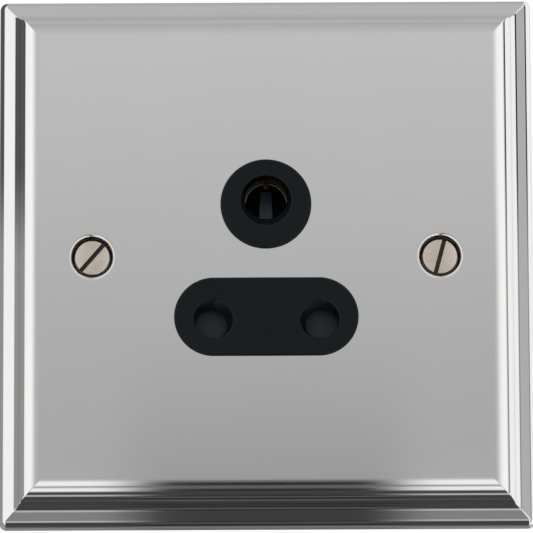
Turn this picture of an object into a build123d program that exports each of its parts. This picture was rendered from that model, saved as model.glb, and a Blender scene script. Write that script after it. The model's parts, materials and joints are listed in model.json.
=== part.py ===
from build123d import *
from math import cos, radians, sin
import os

# Surface: a 5 A round pin socket on a pressed metal plate, seen from the room.
# +X is to the right, +Z is up and +Y points into the wall.
# The origin is the middle of the plate, in the plane of the wall.
# Heights are measured from the wall towards the room, and are negative inside the wall box.

# Pins of the plug that the socket takes
pin_pitch = 19.05
earth_to_line = 22.23
line_pin_r = 2.54
line_pin_length = 14.9
earth_pin_r = 3.53
earth_pin_length = 20.6
earth_above_centre = 10.5
contact_play = 0.02
guide_play = 0.2
guide_relief = 0.4

# Face plate and its stepped edge
plate_side = 93.0
plate_sheet = 1.0
plate_corner_r = 1.3
rim_side = 3.1
bead_r = 1.7
ledge = 1.5
ledge_slope = 22.0
cove_r = 2.0
step = 0.2
ovolo_r = 1.3
face_height = 9.5

# Fixing screws and the pressed dishes that they sit in
fixing_centres = 60.3
fixing_thread_r = 1.75
fixing_neck_r = 1.6
fixing_neck_length = 1.6
fixing_length = 25.0
fixing_head_r = 3.0
fixing_head_height = 1.6
fixing_head_bevel = 0.35
fixing_slot_width = 0.9
fixing_slot_depth = 0.9
left_slot_angle = 49.0
right_slot_angle = 75.0
dish_r = 3.6
dish_floor_r = 3.4
dish_depth = 2.5
dish_lip_r = 0.5
dish_hole_play = 0.35

# Front moulding
boss_proud = 0.4
boss_edge_r = 0.3
earth_boss_r = 7.8
earth_boss_drop = 1.28
line_boss_r = 6.8
line_boss_rise = 1.11
line_boss_inset = 0.46
boss_play = 0.1
earth_mouth_r = 4.4
earth_mouth_drop = 0.78
line_mouth_r = 3.43
line_mouth_rise = 0.72
line_mouth_inset = 0.38
mouth_depth = 1.5
mouth_edge_r = 0.35
flange_width = 49.0
flange_past_stud = 4.5
flange_corner_r = 3.0
flange_thickness = 2.5

# Studs welded to the back of the plate, and what holds the flange on them
stud_r = 1.5
stud_across = 34.0
stud_above_module = 6.5
stud_below_module = 4.5
stud_past_flange = 2.2
stud_hole_play = 0.25
push_nut_r = 4.0
push_nut_sheet = 0.5
push_nut_slits = 6
push_nut_slit_width = 0.5
push_nut_slit_reach = 2.7
nut_play = 0.03
earth_stud_r = 1.75
earth_stud_past_flange = 5.2
earth_nut_across_flats = 6.0
earth_nut_thickness = 2.8
washer_r = 3.6
washer_sheet = 0.6

# Module behind the flange: shutter pad, contact cover and rear moulding
module_width = 45.0
module_top = 25.0
module_bottom = 27.0
module_corner_r = 2.5
cover_thickness = 1.2
rear_depth = 17.4
seat_gap = 0.1
side_play = 0.15

# Shutter and its spring
running_gap = 0.3
shutter_thickness = 1.8
shutter_travel = 5.5
pad_overlap = 0.4
pad_top_overlap = 0.03
stem_width = 6.0
stem_to_bore = 0.92
tongue_width = 2.4
tongue_tip_width = 1.8
tongue_tip_height = 0.4
tongue_tip_above_centre = 1.87
tongue_top_length = 0.6
tongue_front_cover = 2.3
spring_r = 0.9
spring_wire_r = 0.13
spring_length = 9.8
spring_turns = 11
spring_seat_play = 0.05

# Contacts
contact_wall = 0.95
slit_width = 0.8
slit_length = 3.6
line_tube_past_pin = 1.5
earth_tube_past_pin = 1.3
lug_width = 8.0
lug_thickness = 10.5
lug_setback = 3.8
line_lug_reach = 12.3
earth_lug_reach = 11.3
wire_hole_r = 2.0
wire_hole_setback = 3.5
wire_hole_floor = 0.8
wire_entry_play = 0.6
clip_setback = 0.9
clip_length = 1.6
clip_sheet = 0.5
clip_gap = 1.2
clip_play = 0.03
chamber_play = 0.9

# Small screws
terminal_thread_r = 1.5
terminal_length = 4.8
terminal_head_r = 2.6
terminal_head_height = 1.8
terminal_slot_width = 0.8
terminal_slot_depth = 0.9
terminal_head_play = 0.4
terminal_from_lug_end = 3.9
case_thread_r = 1.45
case_length = 14.2
case_head_r = 2.6
case_head_height = 1.9
case_well_play = 0.4
case_from_side = 4.3
case_from_end = 4.2
case_seat_depth = 9.4
case_notch_r = 1.0
thread_play = 0.05
clear_hole_play = 0.2
small_bevel = 0.3

# Earth strap
strap_width = 9.0
strap_sheet = 0.6
strap_bend_r = 0.9
strap_past_stud = 4.0
strap_past_screw = 3.4
strap_play = 0.1
strap_slot_play = 0.4

# Heights that follow from the sizes above
slope_sin = sin(radians(ledge_slope))
slope_cos = cos(radians(ledge_slope))
cove_top = rim_side + bead_r * slope_cos + ledge * slope_sin + cove_r * slope_cos
wall_foot = cove_top + step
wall_top = face_height - ovolo_r
sheet_back = face_height - plate_sheet
boss_front = face_height + boss_proud
flange_back = sheet_back - flange_thickness
shutter_front = flange_back - running_gap
shutter_back = shutter_front - shutter_thickness
cover_front = shutter_back - running_gap
cover_back = cover_front - cover_thickness
contact_front = cover_back - seat_gap
rear_back = cover_back - rear_depth
lug_front = contact_front - lug_setback
lug_back = lug_front - lug_thickness
wire_height = lug_front - wire_hole_setback
tongue_front = boss_front - tongue_front_cover
case_seat = cover_back - case_seat_depth
dish_floor = face_height - dish_depth

# Places that follow from the sizes above
cove_centre = bead_r * (1 - slope_sin) + ledge * slope_cos - cove_r * slope_sin
flat_start = cove_centre + cove_r + step + ovolo_r
line_z = earth_above_centre - earth_to_line
earth_z = earth_above_centre
line_x = pin_pitch / 2
earth_boss_z = earth_z - earth_boss_drop
earth_mouth_z = earth_z - earth_mouth_drop
line_boss_z = line_z + line_boss_rise
line_boss_x = line_x - line_boss_inset
line_mouth_z = line_z + line_mouth_rise
line_mouth_x = line_x - line_mouth_inset
earth_guide_r = earth_pin_r + guide_play
line_guide_r = line_pin_r + guide_play
earth_contact_r = earth_pin_r + contact_play
line_contact_r = line_pin_r + contact_play
pad_top = line_z + line_guide_r + pad_top_overlap
pad_bottom = line_z - line_guide_r - pad_overlap
stem_top = earth_z - earth_guide_r - stem_to_bore
tongue_tip_z = earth_z + tongue_tip_above_centre
tongue_crest_z = stem_top + tongue_top_length
spring_seat_z = pad_bottom - spring_seat_play - spring_length
module_middle = (module_top - module_bottom) / 2
stud_top = module_top + stud_above_module
stud_bottom = module_bottom + stud_below_module
stud_places = [(x, z) for z in (stud_top, -stud_bottom) for x in (-stud_across / 2, stud_across / 2)]
case_x = module_width / 2 - case_from_side
case_rows = (module_top - case_from_end, case_from_end - module_bottom)
case_places = [(x, z) for z in case_rows for x in (-case_x, case_x)]
case_notch_width = 2 * (case_from_side + case_head_r + case_well_play)
case_notch_height = 2 * (case_from_end + case_head_r + case_well_play)
module_corners = [(x, z) for z in (module_top, -module_bottom) for x in (-module_width / 2, module_width / 2)]
fixing_sides = {"left": -1, "right": 1}
line_sides = {"neutral": -1, "live": 1}

os.makedirs("parts", exist_ok=True)


def facing_room(x, z, height):
    """Plane parallel to the wall that faces the room."""
    return Plane(origin=(x, -height, z), x_dir=(1, 0, 0), z_dir=(0, -1, 0))


def facing_wall(x, z, height):
    """Plane parallel to the wall that faces into the wall."""
    return Plane(origin=(x, -height, z), x_dir=(-1, 0, 0), z_dir=(0, 1, 0))


# Section planes of the part: local x runs across or up the plate, local y is height
across_plane = Plane(origin=(0, 0, 0), x_dir=(1, 0, 0), z_dir=(0, 0, -1))
upright_plane = Plane(origin=(0, 0, 0), x_dir=(0, 0, 1), z_dir=(1, 0, 0))


def plate_section(plane, inset, foot):
    """Section of the pressed plate from edge to edge, moved inwards by inset and closed at height foot."""
    half = plate_side / 2
    with BuildSketch(plane) as section:
        with BuildLine():
            bead = CenterArc((half - bead_r, rim_side), bead_r - inset, 0, 90 - ledge_slope)
            cove_start = 270 - ledge_slope
            cove = CenterArc((half - cove_centre, cove_top), cove_r + inset, cove_start, 180 - cove_start)
            ovolo = CenterArc((half - flat_start, wall_top), ovolo_r - inset, 0, 90)
            Line((half - inset, foot), bead @ 0)
            Line(bead @ 1, cove @ 0)
            Line(cove @ 1, ((ovolo @ 0).X, wall_foot))
            Line(((ovolo @ 0).X, wall_foot), ovolo @ 0)
            Line(ovolo @ 1, (0, face_height - inset))
            mirror(about=Plane.YZ)
            Line((inset - half, foot), (half - inset, foot))
        make_face()
    return section.sketch


def boss_outline(plane, play):
    """Outline of the round earth boss and the long boss around the other two holes."""
    with BuildSketch(plane) as outline:
        with Locations((0, earth_boss_z)):
            Circle(earth_boss_r + play)
        with Locations((0, line_boss_z)):
            SlotCenterToCenter(2 * line_boss_x, 2 * (line_boss_r + play))
    return outline.sketch


def module_outline(plane):
    """Outline of the module, which the front pad, the contact cover and the rear moulding share."""
    with BuildSketch(plane) as outline:
        with Locations((0, module_middle)):
            RectangleRounded(module_width, module_top + module_bottom, module_corner_r)
    return outline.sketch


def slotted_screw(underside, head, slot, shank):
    """Screw with its head on a plane; head is radius, height, bevel; slot is width, depth, angle."""
    head_r, head_height, bevel = head
    slot_width, slot_depth, slot_angle = slot
    top = underside.offset(head_height)
    along = Axis(top.origin, top.z_dir)
    with BuildPart() as screw:
        with BuildSketch(underside):
            Circle(head_r)
        extrude(amount=head_height)
        chamfer(screw.edges().filter_by(GeomType.CIRCLE).sort_by(along)[-1], bevel)
        with BuildSketch(top):
            Rectangle(4 * head_r, slot_width, rotation=slot_angle)
        extrude(amount=-slot_depth, mode=Mode.SUBTRACT)
        reach = 0
        for radius, length in shank:
            with BuildSketch(underside.offset(-reach)):
                Circle(radius)
            extrude(amount=-length)
            reach += length
        chamfer(screw.edges().filter_by(GeomType.CIRCLE).sort_by(along)[0], small_bevel)
    return screw


# Face plate, pressed from one sheet
with BuildPart() as plate_hollow:
    extrude(plate_section(across_plane, plate_sheet, -plate_sheet), amount=plate_side / 2, both=True)
    extrude(
        plate_section(upright_plane, plate_sheet, -plate_sheet),
        amount=plate_side / 2,
        both=True,
        mode=Mode.INTERSECT,
    )

with BuildPart() as front_plate:
    extrude(plate_section(across_plane, 0, 0), amount=plate_side / 2, both=True)
    extrude(plate_section(upright_plane, 0, 0), amount=plate_side / 2, both=True, mode=Mode.INTERSECT)
    with BuildSketch(facing_room(0, 0, 0)):
        RectangleRounded(plate_side, plate_side, plate_corner_r)
    extrude(amount=face_height, mode=Mode.INTERSECT)
    add(plate_hollow.part, mode=Mode.SUBTRACT)
    for side in fixing_sides.values():
        with BuildSketch(facing_room(side * fixing_centres / 2, 0, dish_floor - plate_sheet)):
            Circle(dish_r + plate_sheet)
        extrude(amount=dish_depth)
        with BuildSketch(facing_room(side * fixing_centres / 2, 0, face_height)):
            Circle(dish_r)
        with BuildSketch(facing_room(side * fixing_centres / 2, 0, dish_floor)):
            Circle(dish_floor_r)
        loft(mode=Mode.SUBTRACT)
        with BuildSketch(facing_room(side * fixing_centres / 2, 0, face_height)):
            Circle(fixing_thread_r + dish_hole_play)
        extrude(amount=-dish_depth - plate_sheet, mode=Mode.SUBTRACT)
    fillet(front_plate.edges().filter_by(GeomType.CIRCLE).group_by(Axis.Y)[0], dish_lip_r)
    extrude(boss_outline(facing_room(0, 0, face_height), boss_play), amount=-plate_sheet, mode=Mode.SUBTRACT)
front_plate.part.label = "front_plate"
export_step(front_plate.part, "parts/front_plate.step")

# Front moulding: two bosses through the plate, the flange behind it and the pad that holds the shutter
with BuildPart() as front_moulding:
    with BuildSketch(facing_room(0, 0, flange_back)):
        with Locations((0, (stud_top - stud_bottom) / 2)):
            RectangleRounded(flange_width, stud_top + stud_bottom + 2 * flange_past_stud, flange_corner_r)
    extrude(amount=flange_thickness)
    extrude(boss_outline(facing_room(0, 0, sheet_back), 0), amount=boss_front - sheet_back)
    fillet(front_moulding.faces().filter_by(Axis.Y).group_by(Axis.Y)[0].edges(), boss_edge_r)
    extrude(module_outline(facing_room(0, 0, cover_front)), amount=flange_back - cover_front)
    mouths = [((0, earth_mouth_z), earth_mouth_r, (0, earth_z), earth_guide_r)]
    for side in line_sides.values():
        mouths.append(((side * line_mouth_x, line_mouth_z), line_mouth_r, (side * line_x, line_z), line_guide_r))
    for mouth_place, mouth_r, guide_place, guide_r in mouths:
        with BuildSketch(facing_room(*mouth_place, boss_front)):
            Circle(mouth_r)
        with BuildSketch(facing_room(*guide_place, boss_front - mouth_depth)):
            Circle(guide_r)
        loft(mode=Mode.SUBTRACT)
        with BuildSketch(facing_room(*guide_place, boss_front - mouth_depth)):
            Circle(guide_r)
        extrude(amount=cover_front - boss_front + mouth_depth, mode=Mode.SUBTRACT)
    front_edges = front_moulding.edges().filter_by(GeomType.CIRCLE).group_by(Axis.Y)[0]
    fillet(front_edges.sort_by(SortBy.RADIUS)[: len(mouths)], mouth_edge_r)
    # Recess that the shutter slides in: the bar's track, the stem's track and the spring's pocket
    track_foot = pad_bottom - shutter_travel - running_gap
    bar_width = pin_pitch + 2 * (line_guide_r + pad_overlap)
    pocket_width = 2 * (spring_r + spring_wire_r + running_gap)
    with BuildSketch(facing_room(0, 0, cover_front)):
        with Locations((0, (pad_top + running_gap + track_foot) / 2)):
            Rectangle(bar_width + 2 * running_gap, pad_top + running_gap - track_foot)
        with Locations((0, (tongue_tip_z + running_gap + track_foot) / 2)):
            Rectangle(stem_width + 2 * running_gap, tongue_tip_z + running_gap - track_foot)
        with Locations((0, (pad_top + spring_seat_z - spring_seat_play) / 2)):
            Rectangle(pocket_width, pad_top - spring_seat_z + spring_seat_play)
    extrude(amount=flange_back - cover_front, mode=Mode.SUBTRACT)
    # Relief round the earth hole, over the shutter's depth
    with BuildSketch(facing_room(0, earth_z, cover_front)):
        Circle(earth_guide_r + guide_relief)
    extrude(amount=flange_back - cover_front, mode=Mode.SUBTRACT)
    # Slot that the tongue drops into below the earth hole
    slot_foot = stem_top - shutter_travel - running_gap
    with BuildSketch(facing_room(0, (slot_foot + earth_z) / 2, flange_back)):
        Rectangle(tongue_width + 2 * running_gap, earth_z - slot_foot)
    extrude(amount=tongue_front + running_gap - flange_back, mode=Mode.SUBTRACT)
    with BuildSketch(facing_room(0, 0, flange_back)):
        with Locations(*stud_places):
            Circle(stud_r + stud_hole_play)
        with Locations((0, stud_top)):
            Circle(earth_stud_r + stud_hole_play)
    extrude(amount=flange_thickness, mode=Mode.SUBTRACT)
    with BuildSketch(facing_room(0, 0, cover_front)):
        with Locations(*case_places):
            Circle(case_thread_r + thread_play)
    extrude(amount=case_seat + case_length - cover_front + clear_hole_play, mode=Mode.SUBTRACT)
front_moulding.part.label = "front_moulding"
export_step(front_moulding.part, "parts/front_moulding.step")

# Shutter: a bar behind the two lower holes, a stem and a sloping tongue in the earth hole
with BuildPart() as shutter:
    with BuildSketch(facing_room(0, 0, shutter_back)):
        with Locations((0, (pad_top + pad_bottom) / 2)):
            Rectangle(bar_width, pad_top - pad_bottom)
        with Locations((0, (pad_bottom + stem_top) / 2)):
            Rectangle(stem_width, stem_top - pad_bottom)
    extrude(amount=shutter_thickness)
    fillet(shutter.edges().filter_by(Axis.Y), small_bevel)
    with BuildSketch(upright_plane):
        with BuildLine():
            Polyline(
                (stem_top - tongue_top_length, shutter_back),
                (tongue_tip_z, shutter_back),
                (tongue_tip_z, shutter_back + tongue_tip_height),
                (tongue_crest_z, tongue_front),
                (stem_top, tongue_front),
                (stem_top, shutter_front),
                (stem_top - tongue_top_length, shutter_front),
                close=True,
            )
        make_face()
    extrude(amount=tongue_width / 2, both=True)
    for side in (-1, 1):
        with BuildSketch(facing_room(0, 0, shutter_back)):
            with BuildLine():
                Polyline(
                    (side * tongue_width / 2, tongue_crest_z),
                    (side * tongue_width / 2, tongue_tip_z),
                    (side * tongue_tip_width / 2, tongue_tip_z),
                    close=True,
                )
            make_face()
        extrude(amount=tongue_front - shutter_back, mode=Mode.SUBTRACT)
shutter.part.label = "shutter"
export_step(shutter.part, "parts/shutter.step")

# Spring that lifts the shutter back
with BuildPart() as shutter_spring:
    coil_foot = spring_seat_z + spring_wire_r
    coil_height = spring_length - 2 * spring_wire_r
    with BuildLine() as coil:
        Helix(
            pitch=coil_height / spring_turns,
            height=coil_height,
            radius=spring_r,
            center=(0, -(shutter_back + shutter_front) / 2, coil_foot),
            direction=(0, 0, 1),
        )
    with BuildSketch(Plane(origin=coil.line @ 0, z_dir=coil.line % 0)):
        Circle(spring_wire_r)
    sweep(is_frenet=True)
shutter_spring.part.label = "shutter_spring"
export_step(shutter_spring.part, "parts/shutter_spring.step")

# Contact cover: a thin moulding that keeps the contacts in their pockets
with BuildPart() as contact_cover:
    extrude(module_outline(facing_room(0, 0, cover_back)), amount=cover_thickness)
    with BuildSketch(facing_room(0, 0, cover_back)):
        with Locations((0, earth_z)):
            Circle(earth_guide_r)
        with Locations((-line_x, line_z), (line_x, line_z)):
            Circle(line_guide_r)
        with Locations(*case_places):
            Circle(case_thread_r + clear_hole_play)
    extrude(amount=cover_thickness, mode=Mode.SUBTRACT)
contact_cover.part.label = "contact_cover"
export_step(contact_cover.part, "parts/contact_cover.step")

# Sizes of each contact: place, bore radius, tube's end, direction and reach of the terminal lug
line_tube_back = boss_front - line_pin_length - line_tube_past_pin
earth_tube_back = boss_front - earth_pin_length - earth_tube_past_pin
contacts = {
    name: (side * line_x, line_z, line_contact_r, line_tube_back, -1, line_lug_reach)
    for name, side in line_sides.items()
}
contacts["earth"] = (0, earth_z, earth_contact_r, earth_tube_back, 1, earth_lug_reach)


# Rear moulding: bays for the contacts, open to the front and at the module's ends, where the wires go in
with BuildPart() as rear_moulding:
    extrude(module_outline(facing_room(0, 0, rear_back)), amount=rear_depth)
    for name, (x, z, bore_r, tube_back, up, reach) in contacts.items():
        strap_room = strap_sheet if name == "earth" else 0
        with BuildSketch(facing_room(x, z, cover_back)):
            Circle(bore_r + contact_wall + chamber_play)
        extrude(amount=tube_back - seat_gap - cover_back, mode=Mode.SUBTRACT)
        bay_length = (module_top if up > 0 else module_bottom) - up * z
        with BuildSketch(facing_room(x, z + up * bay_length / 2, cover_back)):
            Rectangle(lug_width + 2 * side_play, bay_length)
        extrude(amount=lug_back - seat_gap - strap_room - cover_back, mode=Mode.SUBTRACT)
        screw_z = z + up * (reach - terminal_from_lug_end)
        with BuildSketch(facing_room(x, screw_z, lug_back)):
            with Locations((0, up * bay_length / 2)):
                SlotCenterToCenter(bay_length, 2 * (terminal_head_r + terminal_head_play), rotation=90)
        extrude(amount=rear_back - lug_back, mode=Mode.SUBTRACT)
    with BuildSketch(facing_room(0, 0, lug_back + strap_slot_play)):
        with Locations((0, (module_top + earth_z) / 2)):
            Rectangle(strap_width + 2 * strap_slot_play, module_top - earth_z)
    extrude(amount=-strap_sheet - 2 * strap_slot_play, mode=Mode.SUBTRACT)
    with BuildSketch(facing_room(0, 0, cover_back)):
        with Locations(*case_places):
            Circle(case_thread_r + clear_hole_play)
    extrude(amount=-rear_depth, mode=Mode.SUBTRACT)
    with BuildSketch(facing_room(0, 0, case_seat)):
        with Locations(*module_corners):
            RectangleRounded(case_notch_width, case_notch_height, case_notch_r)
    extrude(amount=rear_back - case_seat, mode=Mode.SUBTRACT)
rear_moulding.part.label = "rear_moulding"
export_step(rear_moulding.part, "parts/rear_moulding.step")

# Contacts: a slit brass tube with a terminal lug, a spring clip round it and a terminal screw
for name, (x, z, bore_r, tube_back, up, reach) in contacts.items():
    tube_r = bore_r + contact_wall
    lug_end = z + up * reach
    screw_z = z + up * (reach - terminal_from_lug_end)
    with BuildPart() as contact:
        with BuildSketch(facing_room(x, z, contact_front)):
            Circle(tube_r)
        extrude(amount=tube_back - contact_front)
        with BuildSketch(facing_room(x, z + up * reach / 2, lug_front)):
            Rectangle(lug_width, reach)
        extrude(amount=-lug_thickness)
        with BuildSketch(facing_room(x, z, contact_front)):
            Circle(bore_r)
        extrude(amount=tube_back - contact_front, mode=Mode.SUBTRACT)
        with BuildSketch(facing_room(x, z, contact_front)):
            Rectangle(2 * tube_r + slit_width, slit_width)
            if name == "earth":
                Rectangle(slit_width, 2 * tube_r + slit_width)
        extrude(amount=-slit_length, mode=Mode.SUBTRACT)
        wire_mouth = Plane(origin=(x, -wire_height, lug_end), z_dir=(0, 0, up))
        with BuildSketch(wire_mouth):
            Circle(wire_hole_r)
        extrude(amount=bore_r + wire_hole_floor - reach, mode=Mode.SUBTRACT)
        with BuildSketch(facing_wall(x, screw_z, lug_back)):
            Circle(terminal_thread_r + thread_play)
        extrude(amount=lug_back - wire_height, mode=Mode.SUBTRACT)
    contact.part.label = f"{name}_contact"
    export_step(contact.part, f"parts/{name}_contact.step")

    with BuildPart() as clip:
        with BuildSketch(facing_room(x, z, contact_front - clip_setback)):
            Circle(tube_r + clip_play + clip_sheet)
            Circle(tube_r + clip_play, mode=Mode.SUBTRACT)
            with Locations((0, -up * tube_r)):
                Rectangle(clip_gap, tube_r, mode=Mode.SUBTRACT)
        extrude(amount=-clip_length)
    clip.part.label = f"{name}_contact_clip"
    export_step(clip.part, f"parts/{name}_contact_clip.step")

    seat = lug_back - (strap_sheet if name == "earth" else 0)
    terminal_screw = slotted_screw(
        facing_wall(x, screw_z, seat),
        (terminal_head_r, terminal_head_height, small_bevel),
        (terminal_slot_width, terminal_slot_depth, 0),
        [(terminal_thread_r, terminal_length)],
    )
    terminal_screw.part.label = f"{name}_terminal_screw"
    export_step(terminal_screw.part, f"parts/{name}_terminal_screw.step")

# Earth strap: from the stud on the plate, over the top of the module, to the earth terminal screw
earth_screw_z = earth_z + earth_lug_reach - terminal_from_lug_end
with BuildPart() as earth_strap:
    run_z = module_top + strap_play + strap_sheet / 2
    top_height = flange_back - strap_sheet / 2
    low_height = lug_back - strap_sheet / 2
    with BuildSketch(upright_plane):
        with BuildLine():
            FilletPolyline(
                (stud_top + strap_past_stud, top_height),
                (run_z, top_height),
                (run_z, low_height),
                (earth_screw_z - strap_past_screw, low_height),
                radius=strap_bend_r,
            )
        trace(line_width=strap_sheet)
    extrude(amount=strap_width / 2, both=True)
    with BuildSketch(facing_room(0, stud_top, flange_back)):
        Circle(earth_stud_r + stud_hole_play)
    extrude(amount=-strap_sheet, mode=Mode.SUBTRACT)
    with BuildSketch(facing_room(0, earth_screw_z, lug_back)):
        Circle(terminal_thread_r + clear_hole_play)
    extrude(amount=-strap_sheet, mode=Mode.SUBTRACT)
    with BuildSketch(Plane(origin=(0, -wire_height, module_top))):
        Rectangle(2 * (wire_hole_r + wire_entry_play), 2 * (wire_hole_r + wire_entry_play))
    extrude(amount=strap_play + strap_sheet, mode=Mode.SUBTRACT)
earth_strap.part.label = "earth_strap"
export_step(earth_strap.part, "parts/earth_strap.step")

# Studs welded to the back of the plate, and the push nuts that hold the flange to it
for number, (x, z) in enumerate(stud_places, 1):
    with BuildPart() as plate_stud:
        with BuildSketch(facing_room(x, z, sheet_back)):
            Circle(stud_r)
        extrude(amount=-flange_thickness - stud_past_flange)
        chamfer(plate_stud.edges().filter_by(GeomType.CIRCLE).sort_by(Axis.Y)[-1], small_bevel)
    plate_stud.part.label = f"plate_stud_{number}"
    export_step(plate_stud.part, f"parts/plate_stud_{number}.step")

    with BuildPart() as push_nut:
        with BuildSketch(facing_room(x, z, flange_back)):
            Circle(push_nut_r)
            Circle(stud_r + nut_play, mode=Mode.SUBTRACT)
            with PolarLocations(push_nut_slit_reach / 2, push_nut_slits):
                Rectangle(push_nut_slit_reach, push_nut_slit_width, mode=Mode.SUBTRACT)
        extrude(amount=-push_nut_sheet)
    push_nut.part.label = f"push_nut_{number}"
    export_step(push_nut.part, f"parts/push_nut_{number}.step")

with BuildPart() as earth_stud:
    with BuildSketch(facing_room(0, stud_top, sheet_back)):
        Circle(earth_stud_r)
    extrude(amount=-flange_thickness - earth_stud_past_flange)
    chamfer(earth_stud.edges().filter_by(GeomType.CIRCLE).sort_by(Axis.Y)[-1], small_bevel)
earth_stud.part.label = "earth_stud"
export_step(earth_stud.part, "parts/earth_stud.step")

with BuildPart() as earth_stud_washer:
    with BuildSketch(facing_room(0, stud_top, flange_back - strap_sheet)):
        Circle(washer_r)
        Circle(earth_stud_r + clear_hole_play, mode=Mode.SUBTRACT)
    extrude(amount=-washer_sheet)
earth_stud_washer.part.label = "earth_stud_washer"
export_step(earth_stud_washer.part, "parts/earth_stud_washer.step")

with BuildPart() as earth_stud_nut:
    with BuildSketch(facing_room(0, stud_top, flange_back - strap_sheet - washer_sheet)):
        RegularPolygon(earth_nut_across_flats / 2, 6, major_radius=False)
        Circle(earth_stud_r + nut_play, mode=Mode.SUBTRACT)
    extrude(amount=-earth_nut_thickness)
earth_stud_nut.part.label = "earth_stud_nut"
export_step(earth_stud_nut.part, "parts/earth_stud_nut.step")

# Screws that hold the rear moulding and the contact cover to the front moulding
for number, (x, z) in enumerate(case_places, 1):
    case_screw = slotted_screw(
        facing_wall(x, z, case_seat),
        (case_head_r, case_head_height, small_bevel),
        (terminal_slot_width, terminal_slot_depth, 0),
        [(case_thread_r, case_length)],
    )
    case_screw.part.label = f"case_screw_{number}"
    export_step(case_screw.part, f"parts/case_screw_{number}.step")

# Screws that fix the plate to the wall box
for name, side in fixing_sides.items():
    fixing_screw = slotted_screw(
        facing_room(side * fixing_centres / 2, 0, dish_floor),
        (fixing_head_r, fixing_head_height, fixing_head_bevel),
        (fixing_slot_width, fixing_slot_depth, left_slot_angle if side < 0 else right_slot_angle),
        [(fixing_neck_r, fixing_neck_length), (fixing_thread_r, fixing_length - fixing_neck_length)],
    )
    fixing_screw.part.label = f"{name}_fixing_screw"
    export_step(fixing_screw.part, f"parts/{name}_fixing_screw.step")
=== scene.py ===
"""Round pin socket on a pressed chrome plate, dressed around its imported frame."""

import json
import logging
import math
from dataclasses import dataclass
from dataclasses import field
from enum import Enum

import bmesh
import bpy
from bpy.types import Material
from bpy.types import Mesh
from bpy.types import Node
from bpy.types import NodeSocket
from bpy.types import NodeTree
from bpy.types import Object
from mathutils import Matrix
from mathutils import Vector


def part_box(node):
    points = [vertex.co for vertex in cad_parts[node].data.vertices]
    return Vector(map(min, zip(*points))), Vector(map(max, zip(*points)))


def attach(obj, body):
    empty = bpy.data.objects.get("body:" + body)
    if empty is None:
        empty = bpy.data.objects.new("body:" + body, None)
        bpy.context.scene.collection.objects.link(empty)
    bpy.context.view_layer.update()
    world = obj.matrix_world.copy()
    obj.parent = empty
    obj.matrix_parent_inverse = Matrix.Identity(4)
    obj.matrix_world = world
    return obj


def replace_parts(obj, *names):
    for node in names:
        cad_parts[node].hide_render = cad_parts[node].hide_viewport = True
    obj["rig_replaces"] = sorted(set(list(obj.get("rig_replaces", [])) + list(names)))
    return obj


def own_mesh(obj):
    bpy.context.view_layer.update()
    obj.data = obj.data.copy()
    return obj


MM = 0.001
SENSOR_MM = 36.0
SMOOTH_ANGLE = math.radians(32)
FLAT_ANGLE = math.radians(0.2)
MERGE_DISTANCE = 0.002 * MM
TINY = 0.0005 * MM
ROOM = Vector((0, -1, 0))
WALL = Vector((0, 1, 0))
UP = Vector((0, 0, 1))
LOG = logging.getLogger("socket")

Colour = tuple[float, float, float]
Point = tuple[float, float]
Bands = tuple[tuple[float, float], ...]

# What the plate mirrors near the middle of its width: degrees above level and grey level
MIDDLE_BANDS: Bands = (
    (-180, 0.14), (-165, 0.15), (-150, 0.22), (-135, 0.2), (-118, 0.04), (-84, 0.03), (-78, 0.09),
    (-66, 0.09), (-60, 0.03), (-50, 0.03), (-45, 0.05), (-36, 0.05), (-8, 0.06), (-6.5, 0.03), (-3.6, 0.03),
    (-2.4, 0.13),
    (0.4, 0.13), (1.6, 0.03), (4.6, 0.03), (5.8, 0.14), (7.6, 0.19), (8.5, 0.38), (9.3, 0.44), (10.5, 0.49),
    (12.8, 0.575), (17, 0.55), (21, 0.51), (32, 0.42), (56, 0.50), (180, 0.36),
)
# The same further out to the left and right
FLANK_BANDS: Bands = (
    (-180, 0.25), (-118, 0.06), (-62, 0.05), (-54, 0.45), (-40, 0.5), (-37, 0.25), (-30, 0.07), (-8, 0.06),
    (-6, 0.9), (-2, 0.95), (-1, 0.3), (0.5, 0.3), (1.5, 0.95), (6.5, 0.95), (8.2, 0.42), (9.3, 0.44),
    (10.5, 0.49), (12.8, 0.575), (17, 0.55), (21, 0.51), (32, 0.42), (56, 0.50), (180, 0.36),
)
# What the upright edges mirror low down and high up: degrees to the right and grey level
LOW_SIDE_BANDS: Bands = (
    (-180, 0.34), (-120, 0.30), (-85, 0.30), (-68, 0.32), (-61, 0.95), (-14, 1.0), (-11, 0.75), (-8.5, 0.5),
    (-2.5, 0.45), (2.5, 0.48), (7, 0.52), (12, 0.9), (16, 1.0), (38, 0.95), (43, 0.46), (49, 0.46),
    (53, 0.28), (63, 0.28), (68, 0.95), (135, 0.95), (180, 0.34),
)
HIGH_SIDE_BANDS: Bands = (
    (-180, 0.20), (-120, 0.10), (-85, 0.08), (-68, 0.10), (-61, 0.95), (-14, 1.0), (-11, 0.75), (-8.5, 0.55),
    (-2.5, 0.50), (2.5, 0.54), (7, 0.6), (12, 0.95), (16, 1.0), (36, 0.95), (41, 0.46), (48, 0.46),
    (51, 0.03), (65, 0.03), (68, 0.95), (135, 0.95), (180, 0.20),
)

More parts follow.
